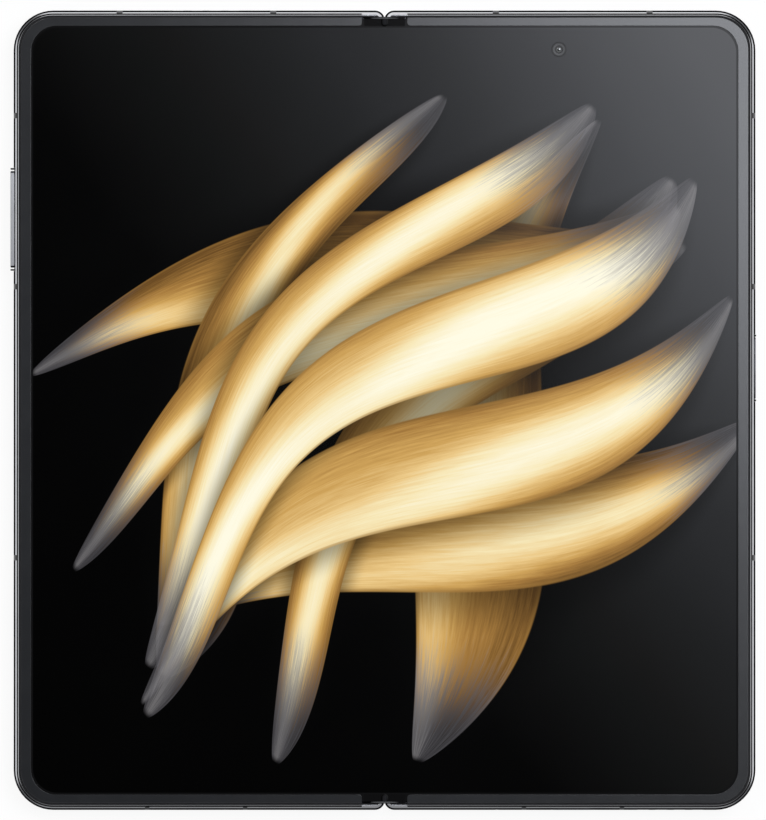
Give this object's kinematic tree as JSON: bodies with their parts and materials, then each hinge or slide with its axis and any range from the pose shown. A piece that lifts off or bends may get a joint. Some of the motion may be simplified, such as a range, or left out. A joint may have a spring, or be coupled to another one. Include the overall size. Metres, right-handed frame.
{
  "type": "foldable smartphone",
  "caption": "Book-style foldable phone, opened flat: two rounded metal halves, one folding screen, a geared hinge in a hollow spine, keys, ports and a rear camera deck.",
  "frame": {"origin": "under the middle of the opened phone, on the plane of the camera rings' outer faces", "axes": "+X to the right and +Y up the inner screen, +Z out of the inner screen towards its viewer"},
  "size_m": [0.1461, 0.1566, 0.0071],
  "materials": {
    "frame_metal": "satin anodised, polished at the rim",
    "spine_metal": "polished",
    "hinge_steel": "machined",
    "gear_steel": "ground",
    "washer_steel": "oiled",
    "screw_steel": "blackened",
    "support_plate": "rolled",
    "cap_plastic": "soft satin",
    "bezel_plastic": "soft satin",
    "band_plastic": "satin",
    "inner_display": "glossy, lit",
    "cover_glass": "glossy black",
    "cover_panel": "dark panel",
    "back_glass": "frosted",
    "deck_metal": "satin",
    "ring_metal": "polished",
    "lens_glass": "coated",
    "camera_black": "matt black",
    "flash_lens": "clear over phosphor",
    "battery_foil": "wrapped in dark foil",
    "board_green": "solder mask",
    "shield_metal": "stamped",
    "flex_amber": "polyimide",
    "module_black": "moulded",
    "motor_steel": "drawn",
    "port_steel": "drawn"
  },
  "bodies": {
    "hinge_spine": {"spine_cover": "spine_metal", "hinge_block_top": "hinge_steel", "hinge_block_bottom": "hinge_steel", "gear_shafts": "hinge_steel", "friction_washers": "washer_steel", "hinge_screws": "screw_steel", "centre_support": "module_black", "end_cap_top": "cap_plastic", "end_cap_bottom": "cap_plastic", "flex_cables": "flex_amber", "display_fold": "inner_display"},
    "left_half": {"left_frame": "frame_metal", "left_bezel": "bezel_plastic", "display_left": "inner_display", "left_hinge_brackets": "hinge_steel", "left_screws": "screw_steel", "left_antenna_bands": "band_plastic", "cover_glass": "cover_glass", "cover_display": "cover_panel", "cover_camera": "camera_black", "left_battery": "battery_foil", "left_board": "board_green", "earpiece_speaker": "module_black", "vibration_motor": "motor_steel", "volume_switches": "module_black", "card_reader": "shield_metal"},
    "right_half": {"right_frame": "frame_metal", "right_bezel": "bezel_plastic", "display_right": "inner_display", "right_hinge_brackets": "hinge_steel", "right_screws": "screw_steel", "right_antenna_bands": "band_plastic", "back_cover": "back_glass", "camera_deck": "deck_metal", "camera_rings": "ring_metal", "camera_glasses": "lens_glass", "main_camera": "camera_black", "wide_camera": "camera_black", "tele_camera": "camera_black", "flash_led": "flash_lens", "right_battery": "battery_foil", "main_board": "board_green", "board_shields": "shield_metal", "inner_camera": "camera_black", "charging_port": "port_steel", "bottom_speaker": "module_black", "power_switch": "module_black"},
    "left_swing_arms": {"left_swing_arms": "gear_steel"},
    "right_swing_arms": {"right_swing_arms": "gear_steel"},
    "left_idler_gears": {"left_idler_gears": "gear_steel"},
    "right_idler_gears": {"right_idler_gears": "gear_steel"},
    "left_support_plate": {"left_support_plate": "support_plate"},
    "right_support_plate": {"right_support_plate": "support_plate"},
    "volume_key": {"volume_key": "frame_metal"},
    "power_key": {"power_key": "frame_metal"},
    "card_tray": {"card_tray": "frame_metal"}
  },
  "joints": [
    {"name": "right_fold", "type": "hinge", "parent": "hinge_spine", "child": "right_half", "pos_m": [0.00145, 0, 0.0059], "axis": [0, -1, 0], "range_deg": [0, 90], "deforming": ["display_fold", "flex_cables"]},
    {"name": "left_fold", "type": "hinge", "parent": "hinge_spine", "child": "left_half", "pos_m": [-0.00145, 0, 0.0059], "axis": [0, 1, 0], "range_deg": [0, 90]},
    {"name": "right_arm_swing", "type": "hinge", "parent": "hinge_spine", "child": "right_swing_arms", "pos_m": [0.00235, 0, 0.005], "axis": [0, -1, 0], "range_deg": [0, 90]},
    {"name": "left_arm_swing", "type": "hinge", "parent": "hinge_spine", "child": "left_swing_arms", "pos_m": [-0.00235, 0, 0.005], "axis": [0, 1, 0], "range_deg": [0, 90]},
    {"name": "right_idler_spin", "type": "hinge", "parent": "hinge_spine", "child": "right_idler_gears", "pos_m": [0.00078, 0, 0.005], "axis": [0, 1, 0], "range_deg": [0, 90]},
    {"name": "left_idler_spin", "type": "hinge", "parent": "hinge_spine", "child": "left_idler_gears", "pos_m": [-0.00078, 0, 0.005], "axis": [0, -1, 0], "range_deg": [0, 90]},
    {"name": "right_plate_tilt", "type": "hinge", "parent": "right_half", "child": "right_support_plate", "pos_m": [0.0108, 0, 0.00581], "axis": [0, -1, 0], "range_deg": [0, 4]},
    {"name": "left_plate_tilt", "type": "hinge", "parent": "left_half", "child": "left_support_plate", "pos_m": [-0.0108, 0, 0.00581], "axis": [0, 1, 0], "range_deg": [0, 4]},
    {"name": "volume_rock", "type": "hinge", "parent": "left_half", "child": "volume_key", "pos_m": [-0.0716, 0.0374, 0.0046], "axis": [0, 0, 1], "range_deg": [-1.15, 1.15], "stiffness_Nm_per_rad": 0.5},
    {"name": "power_press", "type": "slide", "parent": "right_half", "child": "power_key", "axis": [-1, 0, 0], "range_m": [0, 0.00025], "stiffness_N_per_m": 4000},
    {"name": "card_tray_slide", "type": "slide", "parent": "left_half", "child": "card_tray", "axis": [0, -1, 0], "range_m": [0, 0.0165]}
  ],
  "couplings": [
    {"joint": "left_fold", "follows": "right_fold", "ratio": 1},
    {"joint": "right_arm_swing", "follows": "right_fold", "ratio": 1},
    {"joint": "left_arm_swing", "follows": "right_fold", "ratio": 1},
    {"joint": "right_idler_spin", "follows": "right_fold", "ratio": 1},
    {"joint": "left_idler_spin", "follows": "right_fold", "ratio": 1},
    {"joint": "right_plate_tilt", "follows": "right_fold", "ratio": 0.0444},
    {"joint": "left_plate_tilt", "follows": "right_fold", "ratio": 0.0444}
  ]
}
